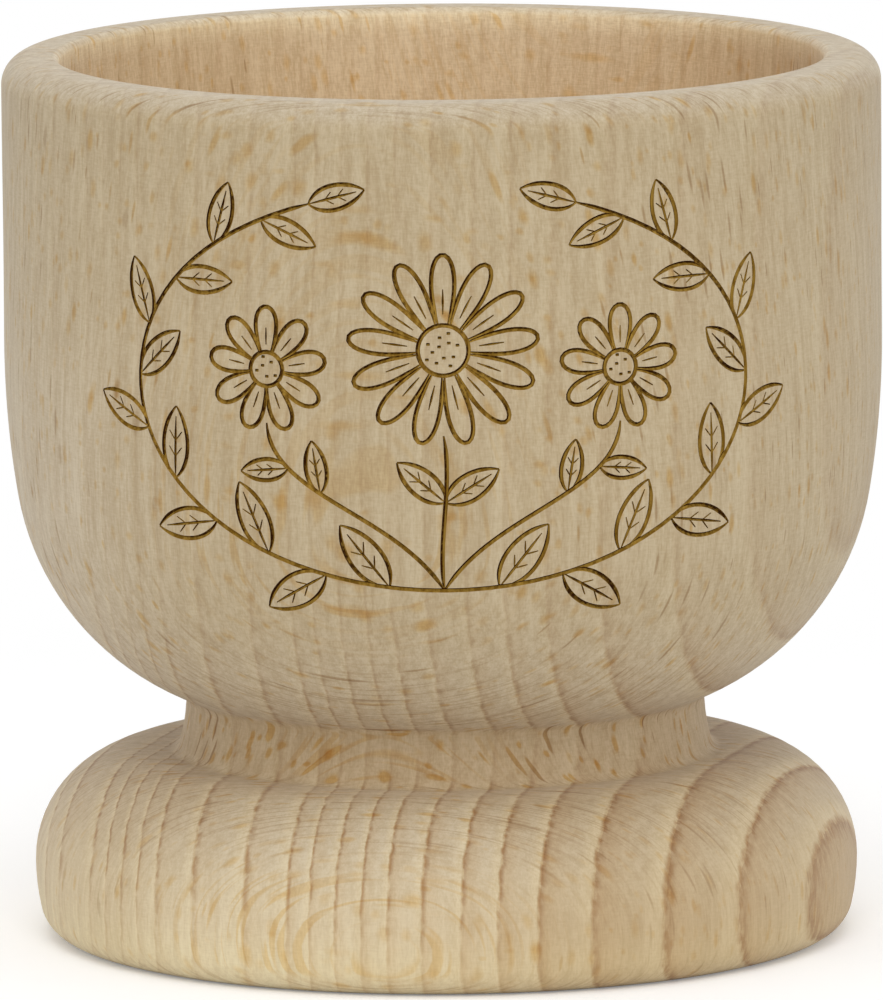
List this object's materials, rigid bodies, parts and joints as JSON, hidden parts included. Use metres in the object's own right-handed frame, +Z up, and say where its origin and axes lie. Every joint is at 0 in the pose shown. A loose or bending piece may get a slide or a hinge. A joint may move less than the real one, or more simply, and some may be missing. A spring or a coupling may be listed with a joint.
{
  "type": "egg cup",
  "caption": "Wooden egg cup turned in one piece, with a deep rounded bowl on a short neck and a low beaded foot.",
  "frame": {"origin": "centre of the foot's flat underside, on the table", "axes": "+Z up along the turning axis, -Y towards the viewer of the decorated front"},
  "size_m": [0.048, 0.048, 0.0485],
  "materials": {
    "beech": "bare, sanded"
  },
  "bodies": {
    "root": {"turned_cup": "beech"}
  },
  "joints": []
}
